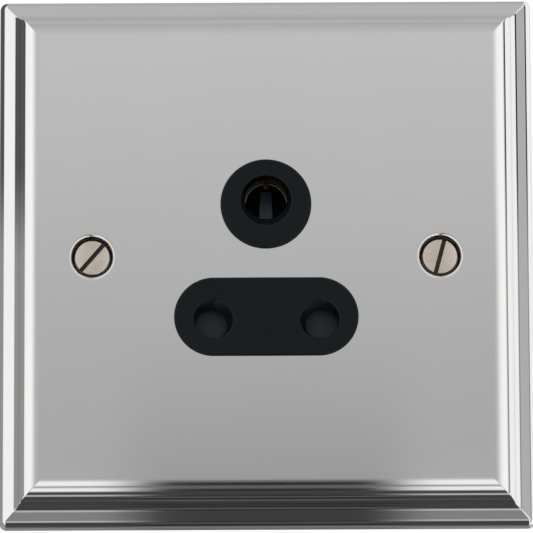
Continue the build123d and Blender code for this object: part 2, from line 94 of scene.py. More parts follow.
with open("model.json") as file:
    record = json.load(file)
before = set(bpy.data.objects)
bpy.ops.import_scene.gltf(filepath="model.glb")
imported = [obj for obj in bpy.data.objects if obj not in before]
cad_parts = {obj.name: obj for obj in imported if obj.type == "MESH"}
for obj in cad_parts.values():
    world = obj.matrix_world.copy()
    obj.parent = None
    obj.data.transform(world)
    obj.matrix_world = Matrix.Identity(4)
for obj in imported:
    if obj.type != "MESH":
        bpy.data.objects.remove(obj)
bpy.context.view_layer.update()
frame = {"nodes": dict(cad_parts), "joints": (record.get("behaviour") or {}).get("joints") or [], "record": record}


class Slot(Enum):
    """Material slots of the record."""

    PLATE = "plate"
    INSERT = "insert"
    REAR = "rear"
    SHUTTER = "shutter"
    SCREW = "screw"
    BRASS = "brass"
    SPRING = "spring"
    PLATED_STEEL = "plated_steel"


class Bench:
    """A material's or the world's node tree, with short calls for the nodes that the finishes share."""

    def __init__(self, tree: NodeTree) -> None:
        """Clears the tree.

        Args:
            tree: The node tree to build in.
        """
        self.tree = tree
        self.tree.nodes.clear()

    def add(self, kind: str, **settings: object) -> Node:
        """Adds a node.

        Args:
            kind: The node's type name, without the ShaderNode in front.
            settings: Properties of the node to set.

        Returns:
            The new node.
        """
        node = self.tree.nodes.new("ShaderNode" + kind)
        for name, value in settings.items():
            setattr(node, name, value)
        return node

    def join(self, source: NodeSocket, target: NodeSocket) -> None:
        """Links one socket to another."""
        self.tree.links.new(source, target)

    def place(self) -> NodeSocket:
        """Gives Object coordinates in metres."""
        return self.add("TexCoord").outputs["Object"]

    def noise(self, place: NodeSocket, size: float, detail: float = 2.0) -> NodeSocket:
        """Gives a soft noise from 0 to 1.

        Args:
            place: The coordinates to read.
            size: The size of its features in metres.
            detail: The number of finer layers.

        Returns:
            The noise's factor.
        """
        noise = self.add("TexNoise")
        noise.inputs["Scale"].default_value = 1 / size
        noise.inputs["Detail"].default_value = detail
        self.join(place, noise.inputs["Vector"])
        return noise.outputs["Fac"]

    def span(self, value: NodeSocket, low: float, high: float) -> NodeSocket:
        """Maps a value from 0..1 to low..high.

        Args:
            value: The value to map.
            low: The result at 0.
            high: The result at 1.

        Returns:
            The mapped value.
        """
        span = self.add("MapRange")
        span.inputs["To Min"].default_value = low
        span.inputs["To Max"].default_value = high
        self.join(value, span.inputs["Value"])
        return span.outputs["Result"]

    def tint(self, value: NodeSocket, dark: Colour, light: Colour) -> NodeSocket:
        """Mixes two colours by a value.

        Args:
            value: The share of the light colour.
            dark: The colour at 0.
            light: The colour at 1.

        Returns:
            The mixed colour.
        """
        mix = self.add("Mix", data_type="RGBA")
        mix.inputs[6].default_value = (*dark, 1)
        mix.inputs[7].default_value = (*light, 1)
        self.join(value, mix.inputs[0])
        return mix.outputs[2]

    def bump(self, height: NodeSocket, depth: float) -> NodeSocket:
        """Turns a height into a surface normal.

        Args:
            height: The height, from 0 to 1.
            depth: The depth of the relief in metres.

        Returns:
            The normal.
        """
        bump = self.add("Bump")
        bump.inputs["Strength"].default_value = 1.0
        bump.inputs["Distance"].default_value = depth
        self.join(height, bump.inputs["Height"])
        return bump.outputs["Normal"]

    def surface(self, **values: float | NodeSocket) -> None:
        """Adds the shader and the output.

        Args:
            values: Sockets of the shader with underscores for spaces, each a number or a socket.
        """
        shader = self.add("BsdfPrincipled")
        output = self.add("OutputMaterial")
        self.join(shader.outputs["BSDF"], output.inputs["Surface"])
        for name, value in values.items():
            socket = shader.inputs[name.replace("_", " ")]
            if isinstance(value, NodeSocket):
                self.join(value, socket)
            else:
                socket.default_value = value


@dataclass(frozen=True)
class Chrome:
    """Polished chrome on pressed steel, with the faint waves that pressing leaves."""

    dark: Colour = (0.885, 0.875, 0.87)
    light: Colour = (0.92, 0.912, 0.905)
    roughness: tuple[float, float] = (0.02, 0.045)
    wave_size: float = 9 * MM
    wave_depth: float = 0.0016 * MM
    smear_size: float = 22 * MM

    def material(self) -> Material:
        """Makes the material."""
        material = new_material("polished_chrome")
        bench = Bench(material.node_tree)
        place = bench.place()
        smear = bench.noise(place, self.smear_size, 3)
        waves = bench.noise(place, self.wave_size, 1)
        bench.surface(
            Base_Color=bench.tint(smear, self.dark, self.light),
            Roughness=bench.span(smear, *self.roughness),
            Normal=bench.bump(waves, self.wave_depth),
            Metallic=1.0,
        )
        return material


@dataclass(frozen=True)
class BlackMoulding:
    """Black thermoset moulding, satin in front or matt behind."""

    name: str
    dark: Colour
    light: Colour
    roughness: tuple[float, float]
    grain_size: float
    grain_depth: float
    specular: float
    cloud_size: float = 6 * MM

    def material(self) -> Material:
        """Makes the material."""
        material = new_material(self.name)
        bench = Bench(material.node_tree)
        place = bench.place()
        cloud = bench.noise(place, self.cloud_size, 3)
        grain = bench.noise(place, self.grain_size, 2)
        bench.surface(
            Base_Color=bench.tint(cloud, self.dark, self.light),
            Roughness=bench.span(cloud, *self.roughness),
            Normal=bench.bump(grain, self.grain_depth),
            Specular_IOR_Level=self.specular,
        )
        return material


@dataclass(frozen=True)
class WorkedMetal:
    """Plated or machined metal with fine tool marks."""

    name: str
    dark: Colour
    light: Colour
    roughness: tuple[float, float]
    cloud_size: float = 2.5 * MM
    mark_size: float = 0.15 * MM
    mark_depth: float = 0.0008 * MM

    def material(self) -> Material:
        """Makes the material."""
        material = new_material(self.name)
        bench = Bench(material.node_tree)
        place = bench.place()
        cloud = bench.noise(place, self.cloud_size, 3)
        marks = bench.noise(place, self.mark_size, 2)
        bench.surface(
            Base_Color=bench.tint(cloud, self.dark, self.light),
            Roughness=bench.span(marks, *self.roughness),
            Normal=bench.bump(marks, self.mark_depth),
            Metallic=1.0,
        )
        return material


def new_material(name: str) -> Material:
    """Makes an empty node material.

    Args:
        name: The material's name.

    Returns:
        The material.
    """
    material = bpy.data.materials.new(name)
    material.use_nodes = True
    return material


@dataclass
class Finishes:
    """One material for each slot of the record, and a dark painted-shade material for a screw's slot and the side
    of its head.
    """

    made: dict[Slot, Material] = field(default_factory=dict)
    painted_shade: Material | None = None

    def make(self) -> None:
        """Makes every material once."""
        recipes = {
            Slot.PLATE: Chrome(),
            Slot.INSERT: BlackMoulding(
                "satin_black", dark=(0.0026, 0.0046, 0.0048), light=(0.0038, 0.0062, 0.0066),
                roughness=(0.22, 0.32), grain_size=0.35 * MM, grain_depth=0.0008 * MM, specular=0.16,
            ),
            Slot.REAR: BlackMoulding(
                "matt_black", dark=(0.010, 0.010, 0.011), light=(0.016, 0.016, 0.017),
                roughness=(0.45, 0.6), grain_size=0.25 * MM, grain_depth=0.004 * MM, specular=0.4,
            ),
            # Shutter darkened to near black: painted shade for the pads seen deep inside the pin holes.
            Slot.SHUTTER: BlackMoulding(
                "nylon_with_painted_hole_shade", dark=(0.011, 0.015, 0.021), light=(0.015, 0.020, 0.028),
                roughness=(0.4, 0.55), grain_size=0.2 * MM, grain_depth=0.002 * MM, specular=0.3,
            ),
            Slot.SCREW: WorkedMetal(
                "warm_nickel", dark=(0.60, 0.54, 0.47), light=(0.80, 0.72, 0.63), roughness=(0.24, 0.38),
                cloud_size=0.9 * MM,
            ),
            # Brass darkened overall: partly tarnish, partly painted shade for the contacts deep inside the socket.
            Slot.BRASS: WorkedMetal(
                "brass_with_tarnish_and_painted_shade", dark=(0.24, 0.17, 0.07), light=(0.36, 0.265, 0.115), roughness=(0.3, 0.45),
            ),
            Slot.SPRING: WorkedMetal(
                "spring_steel", dark=(0.42, 0.42, 0.43), light=(0.55, 0.55, 0.56), roughness=(0.25, 0.4),
            ),
            Slot.PLATED_STEEL: WorkedMetal(
                "zinc_plate", dark=(0.56, 0.57, 0.58), light=(0.68, 0.69, 0.70), roughness=(0.28, 0.45),
            ),
        }
        for slot, recipe in recipes.items():
            self.made[slot] = recipe.material()
        # Painted shade: a dark metal that darkens the screw slots and head sides, standing in for shade and dark
        # reflections.
        painted_shade = WorkedMetal(
            "painted_slot_shade", dark=(0.03, 0.028, 0.025), light=(0.12, 0.105, 0.09), roughness=(0.4, 0.6),
        )
        self.painted_shade = painted_shade.material()

    def dress(self, piece: Object, slot: Slot) -> None:
        """Gives a piece the material of its slot.

        Args:
            piece: The piece to dress.
            slot: The record's slot.
        """
        piece.data.materials.append(self.made[slot])


def new_piece(name: str, bm: bmesh.types.BMesh) -> Object:
    """Turns a bmesh into an object at the origin, smooth with sharp edges at corners.

    Args:
        name: The object's name.
        bm: The mesh, which is freed.

    Returns:
        The object.
    """
    mesh = bpy.data.meshes.new(name)
    bm.to_mesh(mesh)
    bm.free()
    shade(mesh)
    piece = bpy.data.objects.new(name, mesh)
    bpy.context.scene.collection.objects.link(piece)
    return piece


def shade(mesh: Mesh) -> None:
    """Shades a mesh smooth, with sharp edges where it turns a corner."""
    mesh.shade_smooth()
    mesh.set_sharp_from_angle(angle=SMOOTH_ANGLE)


def keep_flats_flat(piece: Object) -> None:
    """Weights a piece's normals by face area, so that flats stay flat next to small rounds."""
    weighted = piece.modifiers.new("flat_faces", "WEIGHTED_NORMAL")
    weighted.keep_sharp = True
    weighted.weight = 100


def apply_modifiers(piece: Object) -> None:
    """Turns a piece's modifiers into mesh, then shades the result."""
    evaluated = piece.evaluated_get(bpy.context.evaluated_depsgraph_get())
    mesh = bpy.data.meshes.new_from_object(evaluated)
    mesh.name = piece.name
    draft = piece.data
    piece.modifiers.clear()
    piece.data = mesh
    bpy.data.meshes.remove(draft)
    shade(mesh)


def arc(centre: Point, radius: float, start: float, sweep: float, steps: int) -> list[Point]:
    """Points along an arc.

    Args:
        centre: The arc's centre.
        radius: Its radius.
        start: The angle of its first point in degrees.
        sweep: The angle that it turns through in degrees.
        steps: The number of steps.

    Returns:
        The points, both ends included.
    """
    angles = [math.radians(start + sweep * step / steps) for step in range(steps + 1)]
    return [(centre[0] + radius * math.cos(a), centre[1] + radius * math.sin(a)) for a in angles]


def turned(bm: bmesh.types.BMesh, outline: list[Point], centre: Vector, axis: Vector, steps: int) -> None:
    """Turns an outline of radius and height round an axis.

    Args:
        bm: The bmesh to add to.
        outline: Points of radius and height along the axis.
        centre: A point on the axis, at height 0.
        axis: The axis, as a unit vector.
        steps: The number of steps round.
    """
    across = axis.orthogonal().normalized()
    before = set(bm.verts)
    verts = [bm.verts.new(centre + across * radius + axis * height) for radius, height in outline]
    edges = [bm.edges.new(pair) for pair in zip(verts, verts[1:])]
    bmesh.ops.spin(
        bm, geom=verts + edges, cent=centre, axis=axis, dvec=(0, 0, 0), angle=math.tau, steps=steps,
        use_merge=True, use_duplicate=False,
    )
    made = [v for v in bm.verts if v not in before]
    bmesh.ops.remove_doubles(bm, verts=made, dist=MERGE_DISTANCE)


def edges_at(verts: list[bmesh.types.BMVert]) -> list[bmesh.types.BMEdge]:
    """Edges that meet at the vertices, each once and always in the same order."""
    return list(dict.fromkeys(edge for vert in verts for edge in vert.link_edges))


def only_verts(geometry: list) -> list[bmesh.types.BMVert]:
    """Vertices among the results of an operator."""
    return [item for item in geometry if isinstance(item, bmesh.types.BMVert)]


@dataclass
class FacePlate:
    """Pressed plate with a stepped edge, two dishes and two holes for the insert."""

    finishes: Finishes
    sheet: float = 1.0 * MM
    corner: float = 1.3 * MM
    mitre: float = 0.12 * MM
    rim_side: float = 3.1 * MM
    bead: float = 1.7 * MM
    ledge: float = 1.5 * MM
    ledge_slope: float = 22.0
    cove: float = 2.0 * MM
    step: float = 0.2 * MM
    ovolo: float = 1.62 * MM
    roll_off: float = 15.0 * MM
    roll_angle: float = 8.0
    support: float = 0.3 * MM
    dish_rim: float = 3.92 * MM
    dish: float = 3.6 * MM
    dish_floor: float = 3.4 * MM
    dish_depth: float = 2.5 * MM
    dish_foot: float = 0.35 * MM
    lip_sweep: float = 85.0
    screw_hole: float = 2.1 * MM
    boss_play: float = 0.1 * MM
    earth_boss: float = 7.8 * MM
    line_boss: float = 6.8 * MM
    earth_z: float = 9.22 * MM
    line_z: float = -10.62 * MM
    line_x: float = 9.065 * MM
    bead_steps: int = 12
    cove_steps: int = 14
    ovolo_steps: int = 18
    roll_steps: int = 8
    corner_steps: int = 8
    hole_steps: int = 96
    lip_steps: int = 12
    foot_steps: int = 6

    def __post_init__(self) -> None:
        """Takes the plate's reach from the frame."""
        low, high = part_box("front_plate")
        self.half = high.x
        self.face = -low.y

    def section(self) -> list[Point]:
        """Section of the moulding from the wall to the flat, as distance from the edge and height."""
        slope = math.radians(self.ledge_slope)
        roll = math.radians(self.roll_angle)
        bead = arc((self.bead, self.rim_side), self.bead, 180, self.ledge_slope - 90, self.bead_steps)
        inset, height = bead[-1]
        inset += self.ledge * math.cos(slope)
        height += self.ledge * math.sin(slope)
        centre = (inset - self.cove * math.sin(slope), height + self.cove * math.cos(slope))
        cove = arc(centre, self.cove, self.ledge_slope - 90, 90 - self.ledge_slope, self.cove_steps)
        wall = cove[-1][0] + self.step
        shoulder = self.face - self.roll_off * (1 - math.cos(roll)) - self.ovolo * math.cos(roll)
        ovolo = arc((wall + self.ovolo, shoulder), self.ovolo, 180, self.roll_angle - 90, self.ovolo_steps)
        inset, height = ovolo[-1]
        middle = (inset + self.roll_off * math.sin(roll), self.face - self.roll_off)
        roll_off = arc(middle, self.roll_off, 90 + self.roll_angle, -self.roll_angle, self.roll_steps)
        points = [(0.0, 0.0), (0.0, self.rim_side / 2)] + bead + cove
        points.append((wall, cove[-1][1] + self.step))
        points += ovolo + roll_off[1:]
        points.append((middle[0] + self.support, self.face))
        return points

    def place(self, vert: bmesh.types.BMVert, corner: int, turn: float, inset: float, height: float) -> None:
        """Puts a vertex of a ring in its place on the rounded square at one inset.

        Args:
            vert: The vertex.
            corner: Which corner it belongs to, from 0 to 3.
            turn: Its angle round the corner, as a share of a quarter turn.
            inset: The distance from the plate's edge.
            height: The height in front of the wall.
        """
        radius = max(self.corner - inset, self.mitre)
        reach = self.half - inset - radius
        angle = math.radians(90 * (corner + turn))
        sign_x = 1 if corner in (0, 3) else -1
        sign_z = 1 if corner in (0, 1) else -1
        x = sign_x * reach + radius * math.cos(angle)
        z = sign_z * reach + radius * math.sin(angle)
        vert.co = (x, -height, z)

    def moulding(self, bm: bmesh.types.BMesh) -> list[bmesh.types.BMEdge]:
        """Builds the stepped edge as rings from the wall to the flat.

        Args:
            bm: The bmesh to build in.

        Returns:
            The edges of the innermost ring.
        """
        corner_layer = bm.verts.layers.int.new("corner")
        turn_layer = bm.verts.layers.float.new("turn")
        points = self.corner_steps + 1
        section = self.section()
        ring = bmesh.ops.create_circle(bm, segments=4 * points, radius=self.half)["verts"]
        ring = sorted(ring, key=lambda v: math.atan2(v.co.y, v.co.x) % math.tau)
        for index, vert in enumerate(ring):
            vert[corner_layer] = index // points
            vert[turn_layer] = (index % points) / self.corner_steps
            self.place(vert, vert[corner_layer], vert[turn_layer], *section[0])
        edges = edges_at(ring)
        for inset, height in section[1:]:
            made = bmesh.ops.extrude_edge_only(bm, edges=edges)["geom"]
            ring = only_verts(made)
            for vert in ring:
                self.place(vert, vert[corner_layer], vert[turn_layer], inset, height)
            ends = set(ring)
            edges = [e for e in edges_at(ring) if all(v in ends for v in e.verts)]
        return edges

    def outline(
        self, bm: bmesh.types.BMesh, x: float, z: float, radius: float, stretch: float = 0.0,
    ) -> list[bmesh.types.BMEdge]:
        """Adds a round or long outline to the flat, a little way outside a hole or dish.

        Args:
            bm: The bmesh to add to.
            x: The hole's centre across the plate.
            z: The hole's centre up the plate.
            radius: The radius of its ends.
            stretch: The distance from its centre to its ends' centres.

        Returns:
            The outline's edges.
        """
        ring = bmesh.ops.create_circle(bm, segments=self.hole_steps, radius=radius + self.support)["verts"]
        for vert in ring:
            shift = self.end_shift(vert.co.x, stretch)
            vert.co = (x + vert.co.x + shift, -self.face, z + vert.co.y)
        return edges_at(ring)

    @staticmethod
    def end_shift(across: float, stretch: float) -> float:
        """Distance from a long hole's centre to the centre of the end that a point belongs to."""
        return math.copysign(stretch, across) if abs(across) > MERGE_DISTANCE else 0.0

    def hole(
        self, bm: bmesh.types.BMesh, x: float, z: float, radius: float, stretch: float = 0.0,
    ) -> list[bmesh.types.BMEdge]:
        """Adds a round or long hole to the flat, with a narrow ring round it.

        Args:
            bm: The bmesh to add to.
            x: The hole's centre across the plate.
            z: The hole's centre up the plate.
            radius: The radius of its ends.
            stretch: The distance from its centre to its ends' centres.

        Returns:
            The ring's outer edges.
        """
        outline = self.outline(bm, x, z, radius, stretch)
        shrink = radius / (radius + self.support)
        for vert in only_verts(bmesh.ops.extrude_edge_only(bm, edges=outline)["geom"]):
            across = vert.co.x - x
            shift = self.end_shift(across, stretch)
            vert.co.x = x + shift + (across - shift) * shrink
            vert.co.z = z + (vert.co.z - z) * shrink
        return outline

    def dish_section(self) -> list[Point]:
        """Section of a dish, as radius and height from the flat."""
        lip = self.dish_rim - self.dish
        flat = [(self.dish_rim + self.support, 0.0)]
        lip_turn = arc((self.dish_rim, -lip), lip, 90, self.lip_sweep, self.lip_steps)
        foot_centre = (self.dish_floor - self.dish_foot, self.dish_foot - self.dish_depth)
        foot_turn = arc(foot_centre, self.dish_foot, 0, -90, self.foot_steps)
        return flat + lip_turn + foot_turn + [(self.screw_hole, -self.dish_depth)]

    def build(self) -> Object:
        """Builds the plate.

        Returns:
            The plate.
        """
        bm = bmesh.new()
        loops = self.moulding(bm)
        dish_low, dish_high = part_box("right_fixing_screw")
        dish_x = (dish_low.x + dish_high.x) / 2
        for side in (-1, 1):
            loops += self.outline(bm, side * dish_x, 0.0, self.dish_rim)
        loops += self.hole(bm, 0.0, self.earth_z, self.earth_boss + self.boss_play)
        loops += self.hole(bm, 0.0, self.line_z, self.line_boss + self.boss_play, self.line_x)
        bmesh.ops.triangle_fill(bm, use_beauty=True, use_dissolve=False, edges=loops, normal=ROOM)
        for side in (-1, 1):
            turned(bm, self.dish_section(), Vector((side * dish_x, -self.face, 0)), ROOM, self.hole_steps)
        bmesh.ops.remove_doubles(bm, verts=bm.verts, dist=2 * MERGE_DISTANCE)
        bmesh.ops.recalc_face_normals(bm, faces=bm.faces)
        if max(bm.faces, key=lambda f: f.calc_area()).normal.y > 0:
            bmesh.ops.reverse_faces(bm, faces=bm.faces)
        plate = new_piece("face_plate", bm)
        wall = plate.modifiers.new("sheet", "SOLIDIFY")
        wall.thickness = self.sheet
        wall.offset = -1
        wall.use_even_offset = True
        apply_modifiers(plate)
        keep_flats_flat(plate)
        self.finishes.dress(plate, Slot.PLATE)
        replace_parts(plate, "front_plate")
        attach(plate, "housing")
        return plate


@dataclass
class Screw:
    """Slotted screw with a bevelled head and a rolled thread."""

    name: str
    node: str
    finishes: Finishes
    slot_angle: float = 0.0
    slot: Slot = Slot.BRASS
    axis: Vector = field(default_factory=WALL.copy)
    head: float = 2.6 * MM
    head_height: float = 1.8 * MM
    bevel: float = 0.3 * MM
    slot_width: float = 0.8 * MM
    slot_depth: float = 0.9 * MM
    thread: float = 1.5 * MM
    pitch: float = 0.5 * MM
    neck: float = 0.4 * MM
    core_share: float = 0.8
    tip_share: float = 0.6
    root_share: float = 0.98
    flank: float = 0.38
    crest: float = 0.12
    overlap: float = 0.02 * MM
    side_lean: float = 0.3
    bevel_steps: int = 4
    head_steps: int = 72
    core_steps: int = 48
    thread_steps: int = 24

    def build(self) -> Object:
        """Builds the screw in its node's place.

        Returns:
            The screw.
        """
        low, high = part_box(self.node)
        middle = (low + high) / 2
        crown = Vector((middle.x, low.y if self.axis.y < 0 else high.y, middle.z))
        length = (high.y - low.y) - self.head_height
        bm = bmesh.new()
        self.shank(bm, crown - self.axis * self.head_height, length)
        self.head_with_slot(bm, crown)
        piece = new_piece(self.name, bm)
        keep_flats_flat(piece)
        self.finishes.dress(piece, self.slot)
        # Material 1 is the painted shade for the slot and the side of the head.
        piece.data.materials.append(self.finishes.painted_shade)
        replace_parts(piece, self.node)
        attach(piece, "housing")
        return piece

    def head_with_slot(self, bm: bmesh.types.BMesh, crown: Vector) -> None:
        """Adds the head with its slot cut right across the top.

        Args:
            bm: The bmesh to add to.
            crown: The middle of the head's top.
        """
        head = bmesh.new()
        bevel = arc((self.head - self.bevel, -self.bevel), self.bevel, 90, -90, self.bevel_steps)
        outline = [(0.0, 0.0)] + bevel + [(self.head, -self.head_height), (0.0, -self.head_height)]
        turned(head, outline, Vector((0, 0, 0)), UP, self.head_steps)
        bmesh.ops.recalc_face_normals(head, faces=head.faces)
        half = self.slot_width / 2
        for place, normal in (((0, half, 0), WALL), ((0, -half, 0), WALL), ((0, 0, -self.slot_depth), UP)):
            whole = head.verts[:] + head.edges[:] + head.faces[:]
            bmesh.ops.bisect_plane(head, geom=whole, plane_co=place, plane_no=normal, dist=TINY)
        middles = {face: face.calc_center_median() for face in head.faces}
        for face, middle in middles.items():
            # The head's side gets material 1, painted shade that darkens the ring between head and dish.
            face.material_index = int(abs(face.normal.z) < self.side_lean and middle.z > -self.head_height)
        inside = [f for f, middle in middles.items() if abs(middle.y) < half and middle.z > -self.slot_depth]
        bmesh.ops.delete(head, geom=inside, context="FACES")
        self.line_slot(head, half)
        bmesh.ops.recalc_face_normals(head, faces=head.faces)
        turn = Matrix.Rotation(self.slot_angle, 4, "Z")
        aim = Matrix.Rotation(-self.axis.y * math.pi / 2, 4, "X")
        bmesh.ops.transform(head, matrix=Matrix.Translation(crown) @ aim @ turn, verts=head.verts)
        scratch = bpy.data.meshes.new("scratch")
        head.to_mesh(scratch)
        head.free()
        bm.from_mesh(scratch)
        bpy.data.meshes.remove(scratch)

    def line_slot(self, head: bmesh.types.BMesh, half: float) -> None:
        """Gives the cut slot its two walls and its floor.

        Args:
            head: The head's bmesh, open along the slot.
            half: Half of the slot's width.
        """
        rim = [edge for edge in head.edges if edge.is_boundary]
        floor = [edge for edge in rim if all(abs(v.co.z + self.slot_depth) < TINY for v in edge.verts)]
        ends = list(dict.fromkeys(vert for edge in floor for vert in edge.verts))
        made = []
        for side in (-half, half):
            foot = head.edges.new([vert for vert in ends if abs(vert.co.y - side) < TINY])
            floor.append(foot)
            wall = [edge for edge in rim if all(abs(v.co.y - side) < TINY for v in edge.verts)]
            made += bmesh.ops.contextual_create(head, geom=wall + [foot])["faces"]
        made += bmesh.ops.contextual_create(head, geom=floor)["faces"]
        # The slot's walls and floor get material 1, the painted shade.
        for face in made:
            face.material_index = 1

    def shank(self, bm: bmesh.types.BMesh, underside: Vector, length: float) -> None:
        """Adds the neck and the helical thread.

        Args:
            bm: The bmesh to add to.
            underside: The middle of the head's underside.
            length: The length below the head.
        """
        core = self.thread * self.core_share
        outline = [
            (0.0, self.overlap), (core, self.overlap), (core, self.pitch - length),
            (core * self.tip_share, -length), (0.0, -length),
        ]
        turned(bm, outline, underside, self.axis, self.core_steps)
        across = self.axis.orthogonal().normalized()
        root = core * self.root_share
        ridge = [
            (root, 0.0), (self.thread, -self.flank * self.pitch),
            (self.thread, -(self.flank + self.crest) * self.pitch),
            (root, -(2 * self.flank + self.crest) * self.pitch),
        ]
        start = underside - self.axis * self.neck
        verts = [bm.verts.new(start + across * r + self.axis * h) for r, h in ridge]
        edges = [bm.edges.new(pair) for pair in zip(verts, verts[1:] + verts[:1])]
        turns = (length - self.neck - 2 * self.pitch) / self.pitch
        count = int(turns * self.thread_steps)
        advance = -self.axis * self.pitch / self.thread_steps
        last = bmesh.ops.spin(
            bm, geom=verts + edges, cent=start, axis=self.axis, dvec=advance,
            angle=math.tau * count / self.thread_steps, steps=count, use_merge=False, use_duplicate=False,
        )["geom_last"]
        bmesh.ops.contextual_create(bm, geom=verts)
        bmesh.ops.contextual_create(bm, geom=only_verts(last))
        bmesh.ops.recalc_face_normals(bm, faces=bm.faces)


@dataclass
class PlateScrew(Screw):
    """One of the two screws that hold the plate to the wall box."""

    slot: Slot = Slot.SCREW
    axis: Vector = field(default_factory=ROOM.copy)
    head: float = 3.0 * MM
    head_height: float = 1.6 * MM
    bevel: float = 0.13 * MM
    slot_width: float = 0.75 * MM
    thread: float = 1.75 * MM
    pitch: float = 0.6 * MM
    neck: float = 1.6 * MM


@dataclass
class CaseScrew(Screw):
    """One of the four screws that hold the mouldings together."""

    slot: Slot = Slot.PLATED_STEEL
    head_height: float = 1.9 * MM
    thread: float = 1.45 * MM
    pitch: float = 0.9 * MM


@dataclass
class DressedNode:
    """Copy of a node with merged points and smooth rounds."""

    node: str
    slot: Slot
    body: str
    finishes: Finishes

    def build(self) -> Object:
        """Copies, merges and dresses the node.

        Returns:
            The piece.
        """
        source = bpy.data.objects[self.node]
        bm = bmesh.new()
        bm.from_mesh(source.data)
        bmesh.ops.remove_doubles(bm, verts=bm.verts, dist=MERGE_DISTANCE / 4)
        bmesh.ops.dissolve_limit(
            bm, angle_limit=FLAT_ANGLE, use_dissolve_boundaries=False, verts=bm.verts, edges=bm.edges,
        )
        piece = new_piece(self.node + "_finish", bm)
        keep_flats_flat(piece)
        self.finishes.dress(piece, self.slot)
        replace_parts(piece, self.node)
        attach(piece, self.body)
        return piece


@dataclass
class ReturnSpring:
    """Coil that pushes the shutter back, built in one fixed shape that does not squeeze."""

    finishes: Finishes
    wire: float = 0.13 * MM
    turns: int = 11
    steps: int = 24
    close_pitch: float = 2.2
    nominal_height: float = 9.5 * MM

    def build(self) -> Object:
        """Builds the coil as a swept circle with a close turn at each end.

        Returns:
            The spring.
        """
        low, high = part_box("shutter_spring")
        radius = (high.x - low.x) / 2 - self.wire
        centre = Vector(((low.x + high.x) / 2, (low.y + high.y) / 2, low.z + self.wire))
        height = high.z - low.z - 2 * self.wire
        curve = bpy.data.curves.new("coil_line", "CURVE")
        curve.dimensions = "3D"
        curve.bevel_depth = self.wire
        curve.bevel_resolution = 3
        curve.use_fill_caps = True
        spline = curve.splines.new("POLY")
        count = self.turns * self.steps
        spline.points.add(count)
        for index in range(count + 1):
            angle = math.tau * index / self.steps
            share = self.rise(index / count)
            spot = centre + Vector((radius * math.cos(angle), radius * math.sin(angle), height * share))
            spline.points[index].co = (*spot, 1)
        scratch = bpy.data.objects.new("coil_scratch", curve)
        bpy.context.scene.collection.objects.link(scratch)
        mesh = bpy.data.meshes.new_from_object(scratch)
        mesh.name = "return_spring"
        bpy.data.objects.remove(scratch)
        bm = bmesh.new()
        bm.from_mesh(mesh)
        bpy.data.meshes.remove(mesh)
        spring = new_piece("return_spring", bm)
        self.finishes.dress(spring, Slot.SPRING)
        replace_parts(spring, "shutter_spring")
        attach(spring, "housing")
        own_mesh(spring)
        return spring

    def rise(self, share: float) -> float:
        """Share of the height at a share of the turns, with a close turn at each end.

        Args:
            share: The share of the turns.

        Returns:
            The share of the height.
        """
        end = 1 / self.turns
        close = self.wire * self.close_pitch / self.nominal_height
        if share < end:
            return close * share / end
        if share > 1 - end:
            return 1 - close * (1 - share) / end
        return close + (1 - 2 * close) * (share - end) / (1 - 2 * end)

    @staticmethod
    def travel() -> float:
        """Travel of the shutter in metres, from the frame."""
        joint = next(j for j in frame["joints"] if j["name"] == "shutter_slide")
        return joint["range_m"][1]


